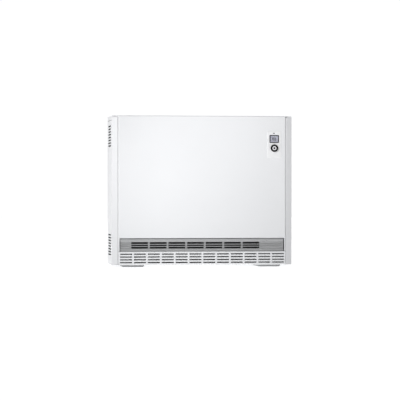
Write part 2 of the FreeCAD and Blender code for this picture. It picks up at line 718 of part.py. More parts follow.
def rotor(start):
    """A cross-flow wheel: curved blades between three discs, with two hubs."""
    blades = []
    arc_r = 9.0
    mid_r = ROTOR_R - 4.0
    for i in range(BLADES):
        blade = pipe(V(start + 1, mid_r + 6.5, 0), X_AXIS, arc_r, arc_r - 0.9, ROTOR_LENGTH - 2)
        keep = box((start, start + ROTOR_LENGTH), (ROTOR_R - 8.5, ROTOR_R - 0.6), (0.3, 9.5))
        blade = blade.common(keep)
        blade.rotate(V(0, 0, 0), X_AXIS, i * 360.0 / BLADES)
        blade.translate(V(0, FAN_Y, FAN_Z))
        blades.append(blade)
    discs = []
    for x in (start, start + ROTOR_LENGTH / 2 - 0.8, start + ROTOR_LENGTH - 1.6):
        discs.append(pipe(V(x, FAN_Y, FAN_Z), X_AXIS, ROTOR_R, SHAFT_R + RUNNING, 1.6))
    hubs = [pipe(V(start + 1, FAN_Y, FAN_Z), X_AXIS, 8.0, SHAFT_R + RUNNING, 12),
            pipe(V(start + ROTOR_LENGTH - 13, FAN_Y, FAN_Z), X_AXIS, 8.0, SHAFT_R + RUNNING, 12)]
    return join(discs + hubs + blades)


def fan_shaft():
    start = FAN_X - FAN_HALF - 5
    shaft = rod(V(start, FAN_Y, FAN_Z), X_AXIS, SHAFT_R, 2 * FAN_HALF + 10)
    return shaft.makeChamfer(0.6, [edge for edge in shaft.Edges if isinstance(edge.Curve, Part.Circle)])


def fan_motor():
    """A double-shaft motor: laminated stator between two end bells."""
    start = FAN_X - MOTOR_LENGTH / 2
    stator = rod(V(start + 14, FAN_Y, FAN_Z), X_AXIS, MOTOR_R, MOTOR_LENGTH - 28)
    bells = []
    for x in (start, start + MOTOR_LENGTH - 14.5):
        bell = rod(V(x, FAN_Y, FAN_Z), X_AXIS, MOTOR_R - 3, 14.5)
        bells.append(soften(bell, 3.0, lambda edge: isinstance(edge.Curve, Part.Circle)))
    motor = join([stator] + bells)
    return motor.cut(rod(V(start - 1, FAN_Y, FAN_Z), X_AXIS, SHAFT_R + RUNNING, MOTOR_LENGTH + 2))


def at_shaft_ends(make):
    """The same piece at both ends of the fan shaft."""
    return [make(FAN_X - FAN_HALF - SHEET / 2), make(FAN_X + FAN_HALF + SHEET / 2)]


def fan_bearings():
    def bush(middle):
        return pipe(V(middle - 4, FAN_Y, FAN_Z), X_AXIS, 8.0, SHAFT_R + RUNNING, 8)
    return Part.makeCompound(at_shaft_ends(bush))


def rubber_mounts():
    """A ring round each bearing, and a saddle between the motor and the scroll."""
    def ring(middle):
        body = pipe(V(middle - 3, FAN_Y, FAN_Z), X_AXIS, 16.0, 8.05, 6)
        groove = pipe(V(middle - SHEET / 2 - 0.1, FAN_Y, FAN_Z), X_AXIS, 17, 13.1, SHEET + 0.2)
        return body.cut(groove)
    saddle = pipe(V(FAN_X - 12, FAN_Y, FAN_Z), X_AXIS, SCROLL_R - 0.1, MOTOR_R + 0.1, 24)
    saddle = saddle.common(box((FAN_X - 20, FAN_X + 20), (FAN_Y - 12, FAN_Y + 60), (0, FAN_Z - 6)))
    return Part.makeCompound(at_shaft_ends(ring) + [saddle])


def outlet_duct():
    """The mixing box: open at the front, slotted on top for hot air and at the rear for cool air."""
    duct = box(DUCT_X, DUCT_Y, DUCT_Z)
    inside = box((DUCT_X[0] + SHEET, DUCT_X[1] - SHEET), (DUCT_Y[0] - 1, DUCT_Y[1] - SHEET),
                 (DUCT_Z[0] + SHEET, DUCT_Z[1] - SHEET))
    tools = [inside] + air_slots((DUCT_Z[1] - 5, DUCT_Z[1] + 5))
    for column in range(BRICK_COLUMNS):
        middle = CORE_LEFT + (column + 0.5) * BRICK_W
        tools.append(box(around(middle, 140), (DUCT_Y[1] - 5, DUCT_Y[1] + 5), (86.8, 104)))
    tools.append(rod(V(DUCT_X[0] - 5, FLAP_Y, FLAP_Z), X_AXIS, FLAP_SHAFT_R + RUNNING, 600))
    return cut(duct, tools)


def mixing_flap():
    """The blade that hangs from its shaft and swings forward to let cool air in."""
    x = (DUCT_X[0] + 4, DUCT_X[1] - 4)
    blade = box(x, (FLAP_Y + 1.0, FLAP_Y + 2.2), (FLAP_Z - FLAP_LENGTH, FLAP_Z))
    clips = []
    for middle in (x[0] + 30, OUTLET_X, x[1] - 30):
        clips.append(rod(V(middle - 12, FLAP_Y, FLAP_Z), X_AXIS, FLAP_SHAFT_R + 1.4, 24))
    edge = rod(V(x[0], FLAP_Y + 1.6, FLAP_Z - FLAP_LENGTH), X_AXIS, 1.4, x[1] - x[0])
    flap = join([blade, edge] + clips)
    return flap.cut(rod(V(x[0] - 1, FLAP_Y, FLAP_Z), X_AXIS, FLAP_SHAFT_R + RUNNING, x[1] - x[0] + 2))


def flap_shaft():
    start = DUCT_X[0] - 6
    return rod(V(start, FLAP_Y, FLAP_Z), X_AXIS, FLAP_SHAFT_R, DUCT_X[1] + 22 - start)


def bimetal_coil():
    """The flat spiral that turns the flap, on the right-hand end of the mixing box."""
    x = DUCT_X[1] + 6
    strip = 0.8
    growth = 1.0
    halves = []
    radius = 4.4
    middle = FLAP_Y
    for i in range(6):
        side = 1 if i % 2 == 0 else -1
        ring = pipe(V(x, middle, FLAP_Z), X_AXIS, radius + strip, radius, 8)
        above = (FLAP_Z, FLAP_Z + 30) if side > 0 else (FLAP_Z - 30, FLAP_Z)
        halves.append(ring.common(box((x, x + 8), (middle - 30, middle + 30), above)))
        middle += side * growth
        radius += growth
    end_y = middle + radius
    tie = box((x, x + 8), (end_y - growth, end_y - growth + strip), (FLAP_Z - 12, FLAP_Z))
    pin = rod(V(DUCT_X[1] + 0.1, end_y - growth + strip / 2, FLAP_Z - 12), X_AXIS, 1.8, 14)
    return join(halves + [tie, pin])


# ---------------------------------------------------------------- wiring compartment

def core_sensor():
    """A rod probe through the divider and the insulation, up to the bricks."""
    tip = CORE_LEFT + BRICK_W * BRICK_COLUMNS + 2
    probe = rod(V(tip, 0, SENSOR_Z), X_AXIS, 3.2, WALL_FACE + 6 - tip)
    head = rod(V(WALL_FACE + 0.1, 0, SENSOR_Z), X_AXIS, 8.0, 7)
    tail = rod(V(WALL_FACE + 5, 0, SENSOR_Z), X_AXIS, 2.0, 14)
    return join([probe, head, tail])


def terminal_block():
    """A moulded six-way block on the divider."""
    x = (WALL_FACE + 0.2, WALL_FACE + 26)
    block = box(x, (-30, 60), around(TERMINAL_Z, 28))
    block = soften(block, 1.5, lambda edge: along(edge, X_AXIS))
    wells = [rod(V(x[1] - 10, y, TERMINAL_Z), X_AXIS, 4.2, 12) for y in TERMINAL_Y]
    ribs = [box((x[1] - 3, x[1] + 1), around(y + 7, 2.0), around(TERMINAL_Z, 32)) for y in TERMINAL_Y[:-1]]
    entries = [rod(V(x[0] + 11, y, TERMINAL_Z - 16), Z_AXIS, 2.6, 8) for y in TERMINAL_Y]
    return cut(block, wells + ribs + entries)


def terminal_screws():
    screws = []
    for y in TERMINAL_Y:
        head = rod(V(WALL_FACE + 17, y, TERMINAL_Z), X_AXIS, 3.6, 4)
        slot = box((WALL_FACE + 20, WALL_FACE + 22), around(y, 6.4), around(TERMINAL_Z, 0.9))
        screws.append(head.cut(slot))
    return Part.makeCompound(screws)


def charge_controller():
    """The box that decides how much heat is stored overnight."""
    x = (WALL_FACE + 0.2, WALL_FACE + 38)
    case = box(x, (-62, 48), (184, 252))
    case = soften(case, 2.5, lambda edge: edge.CenterOfMass.x > x[1] - 0.1 or along(edge, X_AXIS))
    fins = [box((x[1] - 2, x[1] + 1), (-50, 36), around(196 + 8 * i, 3.0)) for i in range(6)]
    return cut(case, fins)


def safety_limiter():
    """The over-temperature cut-out, with a bore for its reset button."""
    x = (WALL_FACE + 0.2, WALL_FACE + 24)
    body = box(x, (-22, 22), (LIMITER_Z - 18, LIMITER_Z + 18))
    body = soften(body, 2.0, lambda edge: along(edge, X_AXIS))
    collar = rod(V(x[1] - 1, 0, LIMITER_Z), X_AXIS, 8.0, 5)
    bore = rod(V(x[1] - 10, 0, LIMITER_Z), X_AXIS, RESET_R + 0.06, 20)
    tabs = box((x[0], x[0] + 1.6), (-30, 30), (LIMITER_Z - 8, LIMITER_Z + 8))
    return join([body, collar, tabs]).cut(bore)


def reset_button():
    """The cut-out's button, pressed towards the divider after a trip."""
    face = WALL_FACE + 24 + 4
    stem = rod(V(face - 9, 0, LIMITER_Z), X_AXIS, RESET_R, 12)
    return soften(stem, 1.2, lambda edge: edge.CenterOfMass.x > face + 2.9)


def bent_tube(points, radius):
    """A tube through a few points, with a tangent arc at every turn."""
    corners = [V(*p) for p in points]
    edges = []
    start = corners[0]
    for before, corner, after in zip(corners, corners[1:], corners[2:]):
        way_in = (corner - before).normalize()
        way_out = (after - corner).normalize()
        turn = way_in.getAngle(way_out)
        reach = min((corner - before).Length, (after - corner).Length) * 0.45
        bend = reach / math.tan(turn / 2)
        first = corner - way_in * reach
        last = corner + way_out * reach
        inward = (way_out - way_in).normalize()
        centre = corner + inward * (bend / math.cos(turn / 2))
        middle = centre - inward * bend
        edges.append(Part.LineSegment(start, first).toShape())
        edges.append(Part.Arc(first, middle, last).toShape())
        start = last
    edges.append(Part.LineSegment(start, corners[-1]).toShape())
    path = Part.Wire(edges)
    way = (corners[1] - corners[0]).normalize()
    profile = Part.Wire(Part.makeCircle(radius, corners[0], way))
    return path.makePipeShell([profile], True, False)


def wiring_harness():
    """Sleeved conductors: one to each element terminal, ending in a ring lug, and one to the controls."""
    leads = []
    for level in range(BRICK_ROWS - 1):
        x = WALL_FACE + 6.0 + 5.0 * level
        z = element_height(level)
        for side in (-1, 1):
            lane = side * 84.0
            stud = side * ELEMENT_Y
            wire = bent_tube([(x, lane, 120), (x, lane, z), (x, stud + side * 3.2, z)], 1.8)
            lug = pipe(V(x - 0.9, stud, z), X_AXIS, 4.6, 2.1, 1.8)
            leads.append(join([wire, lug]))
    leads.append(bent_tube([(336, 90, 120), (336, 90, 420), (326, -30, 468), (BEZEL_X, -99.6, 483)], 2.6))
    return Part.makeCompound(leads)


def cable_grommet():
    """The rubber entry for the supply cable, low on the rear panel."""
    start = REAR_Y - 3.0
    body = pipe(V(CABLE_X, start, CABLE_Z), Y_AXIS, CABLE_R + 6, CABLE_R, 8)
    body = soften(body, 1.2, lambda edge: edge.CenterOfMass.y > start + 7.9 and edge.BoundBox.XLength > 25)
    groove = pipe(V(CABLE_X, REAR_Y - 0.1, CABLE_Z), Y_AXIS, CABLE_R + 8, CABLE_R + 2.9, SHEET + 0.2)
    return body.cut(groove)


# ---------------------------------------------------------------- controls

def control_bezel():
    """A moulded plate with openings for the display, the knob and the sensor lens."""
    plate = plate_with_corners(around(BEZEL_X, BEZEL_W), (BEZEL_FACE, FRONT_Y),
                               around(BEZEL_Z, BEZEL_H), 3.0)
    plate = soften(plate, 0.8, lambda edge: edge.CenterOfMass.y < BEZEL_FACE + 0.05)
    body = plate_with_corners(around(BEZEL_X, BEZEL_W - 4.6), (FRONT_Y - 0.1, -111.5),
                              around(BEZEL_Z, BEZEL_H - 4.6), 1.8)
    hollow = plate_with_corners(around(BEZEL_X, BEZEL_W - 8.2), (BEZEL_FACE + 2.0, -100),
                                around(BEZEL_Z, BEZEL_H - 8.2), 1.2)
    window = plate_with_corners(around(BEZEL_X, DISPLAY_W), (-125, -110), around(DISPLAY_Z, DISPLAY_H), 4.0)
    knob_hole = rod(V(BEZEL_X, -125, KNOB_Z), Y_AXIS, SLEEVE_R + 0.5, 15)
    lens_hole = stadium(V(BEZEL_X - 1.5, -118, LENS_Z), 8.2, 3.7, 10, X_AXIS, Y_AXIS)
    return cut(join([plate, body]).cut(hollow), [window, knob_hole, lens_hole])


def display_window():
    pane = plate_with_corners(around(BEZEL_X, DISPLAY_W - 0.4), (BEZEL_FACE + 0.3, BEZEL_FACE + 1.9),
                              around(DISPLAY_Z, DISPLAY_H - 0.4), 3.8)
    return pane


def display_module():
    """The liquid-crystal display in its frame, on the control board."""
    frame = box(around(BEZEL_X, 45), (BEZEL_FACE + 2.1, BOARD_Y), around(DISPLAY_Z, 37))
    recess = box(around(BEZEL_X, DISPLAY_W - 7), (BEZEL_FACE, BEZEL_FACE + 2.7),
                 around(DISPLAY_Z, DISPLAY_H - 7))
    return frame.cut(recess)


def control_board():
    """The printed board, with the push switch on its front and parts on its back."""
    board = box((BEZEL_X - 23.6, BEZEL_X + 25), (BOARD_Y, BOARD_Y + 1.6), around(BEZEL_Z, 106))
    switch = box(around(BEZEL_X, 9), (BOARD_Y - 1.6, BOARD_Y), around(KNOB_Z, 9))
    relay = box((BEZEL_X - 18, BEZEL_X + 2), (BOARD_Y + 1.6, BOARD_Y + 17), (534, 560))
    relay = soften(relay, 1.0, lambda edge: along(edge, Y_AXIS))
    capacitor = rod(V(BEZEL_X + 13, BOARD_Y + 1.6, 545), Y_AXIS, 5.0, 12)
    plug = box(around(BEZEL_X, 20), (BOARD_Y + 1.6, BOARD_Y + 9), (479, 487))
    chip = box(around(BEZEL_X, 12), (BOARD_Y + 1.6, BOARD_Y + 3.4), (505, 517))
    return join([board, switch, relay, capacitor, plug, chip])


def encoder():
    """A hollow-shaft encoder: bearing ring for the knob's sleeve and a middle guide for the button."""
    start = V(BEZEL_X, -116.4, KNOB_Z)
    depth = BOARD_Y + 116.4
    ring = pipe(start, Y_AXIS, SLEEVE_R + 3.2, SLEEVE_R + RUNNING, depth)
    base = pipe(V(BEZEL_X, BOARD_Y - 0.8, KNOB_Z), Y_AXIS, SLEEVE_R + 3.2, 6.6, 0.8)
    guide = pipe(V(BEZEL_X, GUIDE_FACE, KNOB_Z), Y_AXIS, GUIDE_R, 3.06, BOARD_Y - GUIDE_FACE)
    well = rod(V(BEZEL_X, -112.0, KNOB_Z), Y_AXIS, 6.6, 5)
    return join([ring, base, guide]).cut(well)


def selector_knob():
    """The black ring that the user turns, with grip flutes, on a sleeve through the bezel."""
    face = V(BEZEL_X, KNOB_FACE, KNOB_Z)
    ring = rod(face, Y_AXIS, KNOB_R, 6.9)
    ring = soften(ring, 1.4, lambda edge: edge.CenterOfMass.y < KNOB_FACE + 0.1)
    sleeve = rod(V(BEZEL_X, KNOB_FACE + 6.5, KNOB_Z), Y_AXIS, SLEEVE_R, 9.2)
    bore = rod(face - Y_AXIS, Y_AXIS, BUTTON_R + 0.4, 30)
    wide_bore = rod(V(BEZEL_X, GUIDE_FACE - 0.6, KNOB_Z), Y_AXIS, GUIDE_R + 0.8, 30)
    rim = Part.makeCone(BUTTON_R + 2.6, BUTTON_R + 0.4, 2.4, face, Y_AXIS)
    flutes = []
    for i in range(24):
        angle = i * math.pi / 12
        reach = KNOB_R + 0.5
        place = V(BEZEL_X + reach * math.cos(angle), KNOB_FACE + 2.0, KNOB_Z + reach * math.sin(angle))
        flutes.append(rod(place, Y_AXIS, 0.9, 6))
    return cut(join([ring, sleeve]), [bore, wide_bore, rim] + flutes)


def ok_button():
    """The dished push button inside the ring."""
    face = -125.6
    button = rod(V(BEZEL_X, face, KNOB_Z), Y_AXIS, BUTTON_R, 3.2)
    button = soften(button, 0.6, lambda edge: edge.CenterOfMass.y < face + 0.1)
    stem = rod(V(BEZEL_X, face + 3, KNOB_Z), Y_AXIS, 3.0, 10.2)
    dish = Part.makeSphere(42.0, V(BEZEL_X, face - 42.0 + 0.9, KNOB_Z))
    pocket = rod(V(BEZEL_X, face - 1, KNOB_Z), Y_AXIS, 4.3, 2.9)
    return join([button, stem]).cut(dish).cut(pocket)


def button_mark():
    """The dark inlay in the middle of the push button."""
    inlay = rod(V(BEZEL_X, -124.4, KNOB_Z), Y_AXIS, 4.2, 0.7)
    return soften(inlay, 0.25, lambda edge: edge.CenterOfMass.y < -124.3)


def sensor_lens():
    lens = stadium(V(BEZEL_X - 1.5, -118.4, LENS_Z), 8.0, 3.5, 3.0, X_AXIS, Y_AXIS)
    return soften(lens, 0.4, lambda edge: edge.CenterOfMass.y < -119.8)


# ---------------------------------------------------------------- all sub-parts

def build():
    left_side = side_panel()
    left_foot = foot()
    parts = {
        "left_side_panel": left_side,
        "right_side_panel": mirror(left_side),
        "front_panel": front_panel(),
        "top_cover": top_cover(),
        "rear_panel": rear_panel(),
        "base_tray": base_tray(),
        "left_foot": left_foot,
        "right_foot": mirror(left_foot),
        "wall_bracket": wall_bracket(),
        "casing_screws": casing_screws(),
        "outlet_frame": outlet_frame(),
        "outlet_slats": outlet_slats(),
        "grille_screws": grille_screws(),
        "intake_grille": intake_grille(),
        "lint_filter": lint_filter(),
        "intake_duct": intake_duct(),
        "insulation_front": insulation_front(),
        "insulation_rear": insulation_rear(),
        "insulation_left": insulation_left(),
        "insulation_right": insulation_right(),
        "insulation_bottom": insulation_bottom(),
        "insulation_top": insulation_top(),
        "core_cover": core_cover(),
        "core_support": core_support(),
        "compartment_wall": compartment_wall(),
        "fan_housing": fan_housing(),
        "left_rotor": rotor(FAN_X - FAN_HALF + 6),
        "right_rotor": rotor(FAN_X + FAN_HALF - 6 - ROTOR_LENGTH),
        "fan_shaft": fan_shaft(),
        "fan_motor": fan_motor(),
        "fan_bearings": fan_bearings(),
        "rubber_mounts": rubber_mounts(),
        "outlet_duct": outlet_duct(),
        "mixing_flap": mixing_flap(),
        "flap_shaft": flap_shaft(),
        "bimetal_coil": bimetal_coil(),
        "terminal_block": terminal_block(),
        "terminal_screws": terminal_screws(),
        "charge_controller": charge_controller(),
        "safety_limiter": safety_limiter(),
        "reset_button": reset_button(),
        "core_sensor": core_sensor(),
        "wiring_harness": wiring_harness(),
        "cable_grommet": cable_grommet(),
        "control_bezel": control_bezel(),
        "display_window": display_window(),
        "display_module": display_module(),
        "control_board": control_board(),
        "encoder": encoder(),
        "selector_knob": selector_knob(),
        "ok_button": ok_button(),
        "button_mark": button_mark(),
        "sensor_lens": sensor_lens(),
    }
    for row in range(BRICK_ROWS):
        parts[f"bricks_row_{row + 1}"] = brick_row(row)
    for level in range(BRICK_ROWS - 1):
        parts[f"heating_element_{level + 1}"] = heating_element(level)
    return parts


def main():
    os.makedirs("parts", exist_ok=True)
    for name, shape in build().items():
        shape.exportStep(f"parts/{name}.step")
        box_size = shape.BoundBox
        print(f"{name}: valid {shape.isValid()}, solids {len(shape.Solids)}, "
              f"{box_size.XLength:.1f} x {box_size.YLength:.1f} x {box_size.ZLength:.1f}")


main()
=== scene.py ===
"""Looks for the slimline fan heater, in metres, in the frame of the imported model."""
import json
import math

import bmesh
import bpy
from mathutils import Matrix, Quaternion, Vector


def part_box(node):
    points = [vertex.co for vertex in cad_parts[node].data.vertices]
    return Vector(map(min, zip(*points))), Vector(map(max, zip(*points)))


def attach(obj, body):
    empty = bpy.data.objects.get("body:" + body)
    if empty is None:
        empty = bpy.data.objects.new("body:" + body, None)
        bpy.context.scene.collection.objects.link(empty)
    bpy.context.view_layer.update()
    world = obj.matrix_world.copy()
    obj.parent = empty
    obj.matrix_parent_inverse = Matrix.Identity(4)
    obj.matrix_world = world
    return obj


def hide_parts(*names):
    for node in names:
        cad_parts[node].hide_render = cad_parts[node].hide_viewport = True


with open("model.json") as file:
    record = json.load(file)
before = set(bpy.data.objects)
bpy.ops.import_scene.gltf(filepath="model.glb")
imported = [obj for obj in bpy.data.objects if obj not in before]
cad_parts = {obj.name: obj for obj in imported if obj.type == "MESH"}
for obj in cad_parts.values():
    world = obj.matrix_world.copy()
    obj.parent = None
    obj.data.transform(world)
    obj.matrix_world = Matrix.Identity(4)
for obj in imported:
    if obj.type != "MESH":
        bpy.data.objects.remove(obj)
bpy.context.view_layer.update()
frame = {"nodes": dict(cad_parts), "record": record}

MM = 0.001
BLACK = (0.0, 0.0, 0.0)


# ---------------------------------------------------------------- material helpers

def feed(tree, target, value):
    """Links a node's output to an input, or sets the input to a constant."""
    if isinstance(value, bpy.types.NodeSocket):
        tree.links.new(value, target)
    else:
        target.default_value = value


class Graph:
    """A node material with one principled shader, written in a few short calls."""

    def __init__(self, name, base, roughness, metallic=0.0):
        self.material = bpy.data.materials.new(name)
        self.material.use_nodes = True
        self.tree = self.material.node_tree
        self.tree.nodes.clear()
        output = self.tree.nodes.new("ShaderNodeOutputMaterial")
        self.shader = self.tree.nodes.new("ShaderNodeBsdfPrincipled")
        self.tree.links.new(self.shader.outputs["BSDF"], output.inputs["Surface"])
        self.place = self.tree.nodes.new("ShaderNodeTexCoord").outputs["Object"]
        self.set("Base Color", (*base, 1.0))
        self.set("Roughness", roughness)
        self.set("Metallic", metallic)

    @classmethod
    def reopen(cls, material):
        """The same helper around a material made earlier."""
        graph = cls.__new__(cls)
        graph.material = material
        graph.tree = material.node_tree
        graph.shader = next(node for node in graph.tree.nodes if node.type == "BSDF_PRINCIPLED")
        coords = next(node for node in graph.tree.nodes if node.type == "TEX_COORD")
        graph.place = coords.outputs["Object"]
        return graph

    def set(self, socket, value):
        """Gives one of the shader's inputs a constant or a node's output."""
        feed(self.tree, self.shader.inputs[socket], value)

    def node(self, kind, **inputs):
        """A new node, with its inputs named by keyword and an underscore for each space."""
        made = self.tree.nodes.new(kind)
        for name, value in inputs.items():
            feed(self.tree, made.inputs[name.replace("_", " ")], value)
        return made

    def stretched(self, scale):
        """The object coordinates, scaled by a different amount along each axis."""
        return self.node("ShaderNodeMapping", Vector=self.place, Scale=scale).outputs["Vector"]

    def noise(self, scale, detail, roughness=0.5, vector=None):
        made = self.node("ShaderNodeTexNoise", Vector=vector or self.place, Scale=scale, Detail=detail,
                         Roughness=roughness)
        return made.outputs["Fac"]

    def cells(self, scale, output="Color"):
        """Voronoi cells: their random colours, or the distance from their middles."""
        return self.node("ShaderNodeTexVoronoi", Vector=self.place, Scale=scale).outputs[output]

    def wave(self, scale, distortion, direction):
        made = self.node("ShaderNodeTexWave", Vector=self.place, Scale=scale, Distortion=distortion)
        made.bands_direction = direction
        return made.outputs["Fac"]

    def grey(self, colour):
        return self.node("ShaderNodeRGBToBW", Color=colour).outputs["Val"]

    def math(self, operation, a, b):
        made = self.tree.nodes.new("ShaderNodeMath")
        made.operation = operation
        for target, value in zip(made.inputs, (a, b)):
            feed(self.tree, target, value)
        return made.outputs["Value"]

    def every(self, *tests):
        """1 where all of the comparisons hold and 0 elsewhere."""
        found = self.math(*tests[0])
        for test in tests[1:]:
            found = self.math("MULTIPLY", found, self.math(*test))
        return found

    def span(self, value, low, high, start=0.0, stop=1.0):
        """Maps start..stop onto low..high."""
        made = self.node("ShaderNodeMapRange", Value=value, From_Min=start, From_Max=stop,
                         To_Min=low, To_Max=high)
        return made.outputs["Result"]

    def blend(self, factor, first, second):
        """Mixes two colours, each a tuple or a node's output: factor 0 gives the first, 1 the second."""
        made = self.tree.nodes.new("ShaderNodeMix")
        made.data_type = "RGBA"
        feed(self.tree, made.inputs["Factor"], factor)
        for target, value in zip((made.inputs[6], made.inputs[7]), (first, second)):
            feed(self.tree, target, (*value, 1.0) if isinstance(value, tuple) else value)
        return made.outputs[2]

    def bump(self, height, depth):
        """Adds relief, depth metres high, on top of any relief already there."""
        inputs = {"Height": height, "Distance": depth, "Strength": 1.0}
        before = self.shader.inputs["Normal"]
        if before.is_linked:
            inputs["Normal"] = before.links[0].from_socket
        self.set("Normal", self.node("ShaderNodeBump", **inputs).outputs["Normal"])


def shade(colour, factor):
    """The colour made darker or lighter by a factor."""
    return tuple(min(1.0, channel * factor) for channel in colour)


# ---------------------------------------------------------------- materials

# painted shade: the side panels' enamel is darkened, standing in for the shade on their turned-back front
# bands
SIDE_PAINTED_SHADE = 0.085                  # how far the side panels go towards black
# painted shade: near black for the casing's inner faces, standing in for the shade inside
INSIDE_PAINTED_SHADE = (0.05, 0.05, 0.052)


def enamel(name, base, roughness, peel=0.00006):
    """Stoved powder coat: a fine orange peel, tiny pigment specks and slightly uneven gloss."""
    g = Graph(name, base, roughness)
    drift = g.noise(5.0, 3.0)
    specks = g.noise(2600.0, 1.0)
    tone = g.blend(g.span(drift, 0.0, 1.0, 0.3, 0.7), shade(base, 0.992), shade(base, 1.006))
    speckled = g.blend(g.span(specks, 0.0, 0.25, 0.55, 0.8), tone, shade(base, 0.93))
    g.set("Base Color", speckled)
    g.set("Roughness", g.span(g.noise(38.0, 4.0), roughness - 0.05, roughness + 0.06, 0.25, 0.75))
    g.bump(g.noise(620.0, 3.0, 0.55), peel)
    g.bump(g.noise(2100.0, 1.0), peel / 4)
    return g.material


def white_enamel():
    """The casing's enamel, with painted shade: the side panels a shade darker, and near black on the sheets'
    inner faces.
    """
    material = enamel("white_enamel", (0.87, 0.877, 0.892), 0.36)
    g = Graph.reopen(material)
    painted = g.shader.inputs["Base Color"].links[0].from_socket
    parts = g.node("ShaderNodeSeparateXYZ", Vector=g.place).outputs
    from_middle = g.math("ABSOLUTE", parts["X"], 0.0)
    beyond_seam = ("GREATER_THAN", from_middle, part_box("front_panel")[1].x + 0.3 * MM)
    below_cover = ("LESS_THAN", parts["Z"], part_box("right_side_panel")[1].z + 0.2 * MM)
    # painted shade on the side panels, beyond the front panel's seam and below the top cover
    side = g.every(beyond_seam, below_cover)
    painted = g.blend(g.math("MULTIPLY", side, SIDE_PAINTED_SHADE), painted, BLACK)
    low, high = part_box("top_cover")
    # painted shade: the sheets' inner faces are made near black, standing in for the shade inside the casing;
    # the mask starts a little way in from the outside, so that most of each cut edge keeps the enamel
    painted_shade_inside = g.every(("LESS_THAN", from_middle, high.x - 1.0 * MM),
                     ("GREATER_THAN", parts["Y"], low.y + 0.8 * MM),
                     ("LESS_THAN", parts["Y"], high.y - 0.6 * MM),
                     ("LESS_THAN", parts["Z"], high.z - 8.0 * MM))
    g.set("Base Color", g.blend(painted_shade_inside, painted, INSIDE_PAINTED_SHADE))
    return material


def knob_black():
    """The ring's deep black, with little shine."""
    material = moulded("knob_black", (0.002, 0.002, 0.0025), 0.55)
    Graph.reopen(material).set("Specular IOR Level", 0.15)
    return material


def galvanised():
    """Zinc-coated sheet: crystal spangle that changes tone and gloss, under fine rolling lines."""
    base = (0.50, 0.515, 0.53)
    g = Graph("galvanised", base, 0.4, 1.0)
    spangle = g.grey(g.cells(95.0))
    fine = g.grey(g.cells(240.0))
    both = g.math("ADD", g.math("MULTIPLY", spangle, 0.7), g.math("MULTIPLY", fine, 0.3))
    tone = g.blend(both, shade(base, 0.80), shade(base, 1.18))
    dull = g.span(g.noise(14.0, 5.0), 0.0, 0.35, 0.45, 0.75)
    g.set("Base Color", g.blend(dull, tone, shade(base, 0.86)))
    g.set("Roughness", g.span(both, 0.30, 0.52))
    rolling = g.noise(900.0, 2.0, vector=g.stretched((1.0, 1.0, 0.03)))
    g.bump(rolling, 0.00001)
    g.bump(g.cells(95.0, "Distance"), 0.00002)
    return g.material


def plated(name, base, roughness, streak=(1.0, 1.0, 0.05)):
    """Plated or ground metal with fine lines along the tool's path."""
    g = Graph(name, base, roughness, 1.0)
    lines = g.noise(1400.0, 3.0, vector=g.stretched(streak))
    blot = g.noise(60.0, 4.0)
    g.set("Base Color", g.blend(blot, shade(base, 0.85), shade(base, 1.1)))
    g.set("Roughness", g.span(g.math("ADD", lines, blot), roughness - 0.08, roughness + 0.12, 0.6, 1.4))
    g.bump(lines, 0.000012)
    return g.material


def moulded(name, base, roughness, grain=1500.0, depth=0.00002):
    """Moulded plastic with a fine spark-eroded grain and a faint flow pattern."""
    g = Graph(name, base, roughness)
    flow = g.noise(30.0, 3.0, vector=g.stretched((1.0, 1.0, 0.3)))
    g.set("Base Color", g.blend(flow, shade(base, 0.96), shade(base, 1.04)))
    g.set("Roughness", g.span(g.noise(420.0, 2.0), roughness - 0.05, roughness + 0.06))
    g.bump(g.cells(grain, "Distance"), depth)
    return g.material


def brick_material():
    """Pressed magnetite: dark, gritty, with glinting grains and paler dust."""
    base = (0.035, 0.031, 0.029)
    g = Graph("storage_brick", base, 0.85)
    grains = g.grey(g.cells(900.0))
    dust = g.noise(24.0, 6.0)
    tone = g.blend(g.span(grains, 0.0, 1.0), shade(base, 0.6), (0.085, 0.075, 0.07))
    g.set("Base Color", g.blend(g.span(dust, 0.0, 0.5, 0.5, 0.8), tone, (0.16, 0.13, 0.11)))
    g.set("Roughness", g.span(grains, 0.62, 0.95))
    g.bump(g.cells(900.0, "Distance"), 0.0003)
    g.bump(g.noise(160.0, 5.0), 0.0004)
    return g.material


def insulation_material():
    """Microporous board in a woven glass-cloth cover with a faint quilting."""
    # partly painted shade: the board is darker than its own grey, standing in for the shade in the cavity
    # behind the vent slots
    base = (0.26, 0.25, 0.225)
    g = Graph("insulation", base, 0.9)
    warp = g.wave(260.0, 0.4, "X")
    weft = g.wave(260.0, 0.4, "Z")
    weave = g.math("MULTIPLY", warp, weft)
    stain = g.noise(9.0, 4.0)
    tone = g.blend(weave, shade(base, 0.86), shade(base, 1.08))
    g.set("Base Color", g.blend(g.span(stain, 0.0, 0.4, 0.55, 0.8), tone, (0.20, 0.17, 0.13)))
    g.bump(weave, 0.00025)
    g.bump(g.noise(30.0, 2.0), 0.0008)
    return g.material


def element_material():
    """Steel sheath tinted by heat: straw to blue-grey along its length."""
    base = (0.30, 0.27, 0.24)
    g = Graph("element_steel", base, 0.42, 1.0)
    tint = g.noise(11.0, 3.0, vector=g.stretched((1.0, 0.2, 0.2)))
    hot = g.blend(g.span(tint, 0.0, 1.0, 0.35, 0.65), (0.42, 0.31, 0.18), (0.20, 0.22, 0.30))
    g.set("Base Color", g.blend(g.noise(220.0, 4.0), hot, shade(base, 0.7)))
    g.set("Roughness", g.span(g.noise(90.0, 4.0), 0.32, 0.58))
    g.bump(g.noise(700.0, 3.0), 0.00003)
    return g.material


